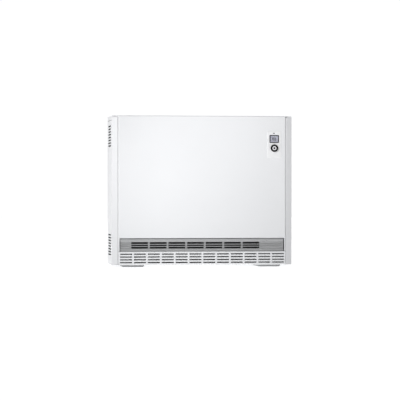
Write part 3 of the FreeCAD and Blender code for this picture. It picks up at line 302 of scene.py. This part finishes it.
def motor_material():
    """Lamination stack: fine rings across the shaft under dark varnish."""
    base = (0.045, 0.05, 0.06)
    g = Graph("motor_body", base, 0.35)
    sheets = g.wave(320.0, 0.0, "X")
    runs = g.noise(80.0, 4.0)
    g.set("Base Color", g.blend(sheets, shade(base, 0.7), shade(base, 1.5)))
    g.set("Roughness", g.span(runs, 0.22, 0.5))
    g.set("Coat Weight", 0.4)
    g.bump(sheets, 0.0001)
    return g.material


def bronze_material():
    """Sintered bronze with open pores and an oily sheen."""
    base = (0.48, 0.30, 0.12)
    g = Graph("bearing_bronze", base, 0.38, 1.0)
    pores = g.span(g.cells(1600.0, "Distance"), 0.0, 1.0, 0.0, 0.35)
    g.set("Base Color", g.blend(pores, shade(base, 0.35), base))
    g.set("Roughness", g.span(g.noise(120.0, 3.0), 0.26, 0.5))
    g.bump(pores, 0.00004)
    return g.material


def rubber_material(name, base):
    """Dull rubber or silicone, slightly mottled."""
    g = Graph(name, base, 0.72)
    g.set("Base Color", g.blend(g.noise(55.0, 5.0), shade(base, 0.75), shade(base, 1.35)))
    g.set("Roughness", g.span(g.noise(240.0, 3.0), 0.62, 0.84))
    g.bump(g.noise(1300.0, 2.0), 0.00004)
    return g.material


def bimetal_material():
    """Two rolled metals, with fine lines along X and a straw tint in places."""
    base = (0.42, 0.38, 0.31)
    g = Graph("bimetal", base, 0.36, 1.0)
    lines = g.noise(1500.0, 2.0, vector=g.stretched((0.03, 1.0, 1.0)))
    g.set("Base Color", g.blend(lines, shade(base, 0.8), (0.50, 0.42, 0.28)))
    g.set("Roughness", g.span(lines, 0.28, 0.5))
    g.bump(lines, 0.00001)
    return g.material


def clear_window():
    """A hard-coated clear window with a slight cool tint."""
    g = Graph("display_clear", (0.10, 0.10, 0.13), 0.04)
    g.set("Alpha", 0.12)
    g.set("IOR", 1.49)
    g.set("Roughness", g.span(g.noise(90.0, 4.0), 0.03, 0.09, 0.3, 0.8))
    g.bump(g.noise(25.0, 2.0), 0.00002)
    return g.material


def lcd_glass():
    """The reflective liquid-crystal field: lilac grey with its fine electrode grid."""
    base = (0.72, 0.73, 0.84)
    g = Graph("lcd_field", base, 0.3)
    lines = g.math("MULTIPLY", g.wave(900.0, 0.0, "X"), g.wave(900.0, 0.0, "Z"))
    cloud = g.noise(60.0, 2.0)
    tone = g.blend(g.span(cloud, 0.0, 1.0, 0.35, 0.65), shade(base, 0.94), shade(base, 1.08))
    g.set("Base Color", g.blend(g.span(lines, 0.0, 0.18), tone, shade(base, 0.88)))
    return g.material


def board_material():
    """Green solder mask over a hint of copper tracks."""
    base = (0.012, 0.10, 0.035)
    g = Graph("board_green", base, 0.3)
    tracks = g.span(g.wave(70.0, 6.0, "Z"), 0.0, 1.0, 0.78, 0.86)
    g.set("Base Color", g.blend(tracks, base, (0.04, 0.19, 0.07)))
    g.set("Roughness", g.span(g.noise(200.0, 2.0), 0.22, 0.42))
    g.bump(tracks, 0.00003)
    return g.material


def finishes():
    """One material for every slot in the record."""
    return {
        "white_enamel": white_enamel(),
        "grey_enamel": enamel("grey_enamel", (0.43, 0.435, 0.44), 0.42),
        "foot_grey": enamel("foot_grey", (0.32, 0.325, 0.33), 0.5, 0.0001),
        "galvanised": galvanised(),
        # painted shade: the pieces in this slot are near black, standing in for the shade inside the outlet
        # duct
        "duct_black": enamel("duct_black", (0.075, 0.075, 0.076), 0.62, 0.0001),
        "screw_zinc": plated("screw_zinc", (0.55, 0.55, 0.56), 0.32),
        "filter_net": moulded("filter_net", (0.17, 0.175, 0.18), 0.6),
        "storage_brick": brick_material(),
        "insulation": insulation_material(),
        "element_steel": element_material(),
        "rotor_aluminium": plated("rotor_aluminium", (0.62, 0.63, 0.64), 0.34, (0.03, 1.0, 1.0)),
        "shaft_steel": plated("shaft_steel", (0.50, 0.50, 0.51), 0.22, (1.0, 0.05, 0.05)),
        "motor_body": motor_material(),
        "bearing_bronze": bronze_material(),
        "rubber_black": rubber_material("rubber_black", (0.016, 0.016, 0.017)),
        "bimetal": bimetal_material(),
        "terminal_plastic": moulded("terminal_plastic", (0.62, 0.58, 0.48), 0.55),
        "brass": plated("brass", (0.70, 0.48, 0.18), 0.28),
        "case_grey": moulded("case_grey", (0.075, 0.08, 0.09), 0.58, 900.0, 0.00005),
        "reset_red": moulded("reset_red", (0.50, 0.015, 0.01), 0.3),
        "wire_sleeve": rubber_material("wire_sleeve", (0.50, 0.48, 0.43)),
        "bezel_white": moulded("bezel_white", (0.90, 0.902, 0.91), 0.45),
        "display_clear": clear_window(),
        "display_panel": moulded("display_panel", (0.030, 0.031, 0.042), 0.5),
        "board_green": board_material(),
        "encoder_black": moulded("encoder_black", (0.015, 0.015, 0.018), 0.5),
        "knob_black": knob_black(),
        "button_white": moulded("button_white", (0.88, 0.88, 0.90), 0.3),
        "mark_dark": moulded("mark_dark", (0.006, 0.006, 0.008), 0.5),
        "lens_dark": moulded("lens_dark", (0.10, 0.10, 0.115), 0.16),
    }


def dress_frame(materials):
    """Gives every CAD node the material of its slot."""
    slots = {entry["node"]: entry["material_slot"] for entry in frame["record"]["subparts"]}
    for name, node in frame["nodes"].items():
        node.data.materials.clear()
        node.data.materials.append(materials[slots[name]])


# ---------------------------------------------------------------- mesh helpers

def add_piece(name, mesh, body, material):
    """A new visible piece that rides on a body and fills a slot."""
    piece = bpy.data.objects.new(name, mesh)
    bpy.context.scene.collection.objects.link(piece)
    mesh.materials.append(material)
    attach(piece, body)
    return piece


def mesh_from(build, name):
    """A mesh made by a function that fills a bmesh."""
    shape = bmesh.new()
    build(shape)
    bmesh.ops.recalc_face_normals(shape, faces=shape.faces)
    mesh = bpy.data.meshes.new(name)
    shape.to_mesh(mesh)
    shape.free()
    return mesh


def add_block(shape, low, high):
    """A closed box between two corners."""
    made = bmesh.ops.create_cube(shape, size=1.0)
    middle = [(a + b) / 2 for a, b in zip(low, high)]
    size = [b - a for a, b in zip(low, high)]
    for vert in made["verts"]:
        vert.co = Vector(m + c * s for m, c, s in zip(middle, vert.co, size))


def add_prism(shape, outline, y, depth):
    """A flat shape in X and Z, pushed back along Y."""
    front = [shape.verts.new((x, y, z)) for x, z in outline]
    back = [shape.verts.new((x, y + depth, z)) for x, z in outline]
    shape.faces.new(front)
    shape.faces.new(back[::-1])
    for i in range(len(outline)):
        j = (i + 1) % len(outline)
        shape.faces.new((front[i], back[i], back[j], front[j]))


# ---------------------------------------------------------------- lint filter

FILTER_RIM = 4.0 * MM
FILTER_BARS = 6
BAR_INSET = 0.2 * MM                # of the bars from the rim's front and back
NET_PITCH = 3.4 * MM
STRAND = 0.75 * MM
LAYER_STEP = STRAND * 0.8           # the second layer bites slightly into the first


def add_strand(shape, start, stop, y):
    """One straight strand of the net, with a four-sided section."""
    along = Vector((stop[0] - start[0], 0, stop[1] - start[1])).normalized()
    across = Vector((-along.z, 0, along.x)) * (STRAND / 2)
    ring = [across, Vector((0, STRAND / 2, 0)), -across, Vector((0, -STRAND / 2, 0))]
    ends = []
    for x, z in (start, stop):
        ends.append([shape.verts.new(Vector((x, y, z)) + offset) for offset in ring])
    shape.faces.new(ends[0])
    shape.faces.new(ends[1][::-1])
    for i in range(4):
        j = (i + 1) % 4
        shape.faces.new((ends[0][i], ends[1][i], ends[1][j], ends[0][j]))


def fill_net(shape, x, z, y):
    """Two layers of diagonal strands, clipped to a rectangle."""
    height = z[1] - z[0]
    count = int((x[1] - x[0] + height) / (NET_PITCH * math.sqrt(2)))
    for i in range(1, count):
        foot = x[0] - height + i * NET_PITCH * math.sqrt(2)
        start = (max(foot, x[0]), z[0] + max(0.0, x[0] - foot))
        stop = (min(foot + height, x[1]), z[1] - max(0.0, foot + height - x[1]))
        if stop[0] - start[0] < NET_PITCH:
            continue
        add_strand(shape, start, stop, y)
        flipped = [(px, z[0] + z[1] - pz) for px, pz in (start, stop)]
        add_strand(shape, *flipped, y + LAYER_STEP)


def lint_filter(materials):
    """The lint net in its moulded frame, in place of the plain CAD pad."""
    low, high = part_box("lint_filter")

    def fill_frame(shape):
        for bottom in (low.z, high.z - FILTER_RIM):
            add_block(shape, (low.x, low.y, bottom), (high.x, high.y, bottom + FILTER_RIM))
        pitch = (high.x - low.x - FILTER_RIM) / FILTER_BARS
        for i in range(FILTER_BARS + 1):
            left = low.x + i * pitch
            add_block(shape, (left, low.y + BAR_INSET, low.z + FILTER_RIM),
                      (left + FILTER_RIM, high.y - BAR_INSET, high.z - FILTER_RIM))

    def fill_middle(shape):
        edge = 1.0 * MM
        fill_net(shape, (low.x + edge, high.x - edge), (low.z + edge, high.z - edge), high.y - 2.6 * MM)

    frame_piece = add_piece("lint_frame", mesh_from(fill_frame, "lint_frame"), "casing",
                            materials["filter_net"])
    net = add_piece("lint_net", mesh_from(fill_middle, "lint_net"), "casing",
                    materials["filter_net"])
    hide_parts("lint_filter")
    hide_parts("lint_filter")


# ---------------------------------------------------------------- display

SEGMENTS = {"0": "abcdef", "1": "bc", "2": "abged", "3": "abgcd", "5": "afgcd"}
RECESS_FLOOR = 0.6 * MM             # behind the display module's front
FIELD_X = (-15.6 * MM, 16.8 * MM)   # the liquid-crystal field, from the middle of the window
FIELD_HALF_HEIGHT = 13.2 * MM
FIELD_CORNER = 1.6 * MM
FIELD_DEPTH = 0.25 * MM
FIELD_RISE = 0.3 * MM               # from the recess floor to the field's front
FIGURE_DEPTH = 0.07 * MM
FIGURE_RISE = 0.36 * MM             # from the recess floor to the figures' front


def segment_outline(x, z, length, width, upright):
    """A six-sided bar with pointed ends, as on a liquid-crystal digit."""
    half, tip = length / 2, width / 2
    flat = [(-half, 0), (-half + tip, tip), (half - tip, tip),
            (half, 0), (half - tip, -tip), (-half + tip, -tip)]
    if upright:
        flat = [(-b, a) for a, b in flat]
    return [(x + a, z + b) for a, b in flat]


def add_digit(shape, digit, x, z, y, height):
    """One seven-segment digit, with its lower left corner at x, z."""
    width = height * 0.50
    bar = height * 0.25
    length = height / 2 - bar * 0.2
    spots = {
        "a": (width / 2, height, False), "g": (width / 2, height / 2, False), "d": (width / 2, 0, False),
        "f": (0, height * 0.75, True), "b": (width, height * 0.75, True),
        "e": (0, height * 0.25, True), "c": (width, height * 0.25, True),
    }
    for key in SEGMENTS[digit]:
        dx, dz, upright = spots[key]
        long = length if upright else width - bar * 0.2
        add_prism(shape, segment_outline(x + dx, z + dz, long, bar, upright), y, FIGURE_DEPTH)


def add_row(shape, digits, x, z, y, height, pitch, gap):
    """A row of digits, with a gap before the third for a point or a colon."""
    for i, digit in enumerate(digits):
        step = pitch * i + (gap if i > 1 else 0)
        add_digit(shape, digit, x + step, z, y, height)


def rounded_outline(x, z, radius, steps=6):
    """A rectangle with round corners, from (low, high) pairs."""
    points = []
    corners = ((x[1] - radius, z[1] - radius, 0), (x[0] + radius, z[1] - radius, 90),
               (x[0] + radius, z[0] + radius, 180), (x[1] - radius, z[0] + radius, 270))
    for cx, cz, start in corners:
        for i in range(steps + 1):
            angle = math.radians(start + 90 * i / steps)
            points.append((cx + radius * math.cos(angle), cz + radius * math.sin(angle)))
    return points


def display(materials):
    """The liquid-crystal field and its generic figures, inside the module's recess."""
    low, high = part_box("display_window")
    x_middle, z_middle = (low.x + high.x) / 2, (low.z + high.z) / 2
    floor_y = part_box("display_module")[0].y + RECESS_FLOOR
    outline = rounded_outline([x_middle + x for x in FIELD_X],
                              (z_middle - FIELD_HALF_HEIGHT, z_middle + FIELD_HALF_HEIGHT), FIELD_CORNER)
    field = mesh_from(lambda shape: add_prism(shape, outline, floor_y - FIELD_RISE, FIELD_DEPTH), "lcd_field")
    add_piece("lcd_field", field, "casing", lcd_glass())

    def figures(shape):
        left, y = x_middle - 8.4 * MM, floor_y - FIGURE_RISE
        add_row(shape, "205", left, z_middle - 2.6 * MM, y, height=8.0 * MM, pitch=5.4 * MM, gap=1.9 * MM)
        point = rounded_outline((left + 9.8 * MM, left + 11.2 * MM),
                                (z_middle - 3.4 * MM, z_middle - 2.0 * MM), 0.4 * MM, 3)
        add_prism(shape, point, y, FIGURE_DEPTH)
        add_row(shape, "1230", left + 0.8 * MM, z_middle - 8.8 * MM, y,
                height=4.1 * MM, pitch=3.7 * MM, gap=1.4 * MM)

    mesh = mesh_from(figures, "lcd_figures")
    add_piece("lcd_figures", mesh, "casing", materials["mark_dark"])


# ---------------------------------------------------------------- studio

CAMERA_DISTANCE = 8.5
CAMERA_TURN = math.radians(7.124)       # towards the heater's left-hand end
CAMERA_HEIGHT = 0.325
CAMERA_YAW = math.radians(7.155)
CAMERA_DIP = math.radians(0.252)
LENS = 175.6
SURROUND = 1.02                     # the world's strength behind the heater
FRONT_LEFT, FRONT_RIGHT = 0.34, 0.04
FLOOR_GLOW = 0.64
FLOOR_SIZE = 15.0
KEY_TARGET = Vector((0.0, -0.118, 0.50))
KEY_DISTANCE = 2.8
KEY_TURN = math.radians(36)             # towards the heater's left-hand end
KEY_RISE = math.radians(14)
KEY_ROLL = math.radians(-30)            # of the oval beam about its own axis
KEY_RADIUS = 0.60                       # of the beam at the target
KEY_STRETCH = 1.5                       # of the beam, to make it oval
KEY_POWER = 194.0


def make_camera():
    """A long lens, in front of the heater and a little to its left."""
    data = bpy.data.cameras.new("camera")
    data.lens = LENS
    data.sensor_width = 36.0
    data.clip_start = 0.1
    data.clip_end = 100.0
    camera = bpy.data.objects.new("camera", data)
    camera.location = (-CAMERA_DISTANCE * math.sin(CAMERA_TURN), -CAMERA_DISTANCE * math.cos(CAMERA_TURN),
                       CAMERA_HEIGHT)
    camera.rotation_euler = (math.pi / 2 - CAMERA_DIP, 0, -CAMERA_YAW)
    bpy.context.scene.collection.objects.link(camera)
    bpy.context.scene.camera = camera


def make_world():
    """A white surround behind the heater, dimmer in front and dimmest in front to the right."""
    world = bpy.data.worlds.new("studio")
    world.use_nodes = True
    tree = world.node_tree
    background = tree.nodes["Background"]
    coords = tree.nodes.new("ShaderNodeTexCoord")
    parts = tree.nodes.new("ShaderNodeSeparateXYZ")
    tree.links.new(coords.outputs["Generated"], parts.inputs["Vector"])

    def ramp(value, start, stop, low, high):
        """A smooth change from low to high as the value goes from start to stop."""
        made = tree.nodes.new("ShaderNodeMapRange")
        made.interpolation_type = "SMOOTHSTEP"
        inputs = {"Value": value, "From Min": start, "From Max": stop, "To Min": low, "To Max": high}
        for key, number in inputs.items():
            feed(tree, made.inputs[key], number)
        return made.outputs["Result"]

    front = ramp(parts.outputs["X"], -0.8, 0.8, FRONT_LEFT, FRONT_RIGHT)
    feed(tree, background.inputs["Strength"], ramp(parts.outputs["Y"], 0.0, 0.7, front, SURROUND))
    background.inputs["Color"].default_value = (0.99, 0.993, 1.0, 1.0)
    bpy.context.scene.world = world


def make_floor():
    """A pale floor that glows a little, as over a light table, so its shadows stay faint."""
    def fill(shape):
        bmesh.ops.create_grid(shape, x_segments=1, y_segments=1, size=FLOOR_SIZE)

    mesh = mesh_from(fill, "floor")
    floor = bpy.data.objects.new("floor", mesh)
    bpy.context.scene.collection.objects.link(floor)
    g = Graph("floor", (0.90, 0.905, 0.91), 0.8)
    g.set("Emission Color", (1.0, 1.0, 1.0, 1.0))
    g.set("Emission Strength", FLOOR_GLOW)
    g.bump(g.noise(60.0, 4.0), 0.0001)
    mesh.materials.append(g.material)


def make_key():
    """A soft oval beam, turned to the left of the front and raised, that fades towards its edge."""
    data = bpy.data.lights.new("key", "SPOT")
    data.energy = KEY_POWER
    data.spot_size = 2 * math.atan(KEY_RADIUS / KEY_DISTANCE)
    data.spot_blend = 0.85
    data.shadow_soft_size = 0.35
    back = Vector((-math.sin(KEY_TURN) * math.cos(KEY_RISE), -math.cos(KEY_TURN) * math.cos(KEY_RISE),
                   math.sin(KEY_RISE)))
    light = bpy.data.objects.new("key", data)
    light.location = KEY_TARGET + back * KEY_DISTANCE
    light.rotation_euler = (back.to_track_quat("Z", "Y") @ Quaternion((0, 0, 1), KEY_ROLL)).to_euler()
    light.scale = (1.0, KEY_STRETCH, 1.0)
    light.visible_camera = False
    bpy.context.scene.collection.objects.link(light)


def set_colour():
    """Plain colours, with no film look."""
    view = bpy.context.scene.view_settings
    view.view_transform = "Standard"
    view.look = "None"


make_camera()
materials = finishes()
dress_frame(materials)
lint_filter(materials)
display(materials)
make_world()
make_floor()
make_key()
set_colour()
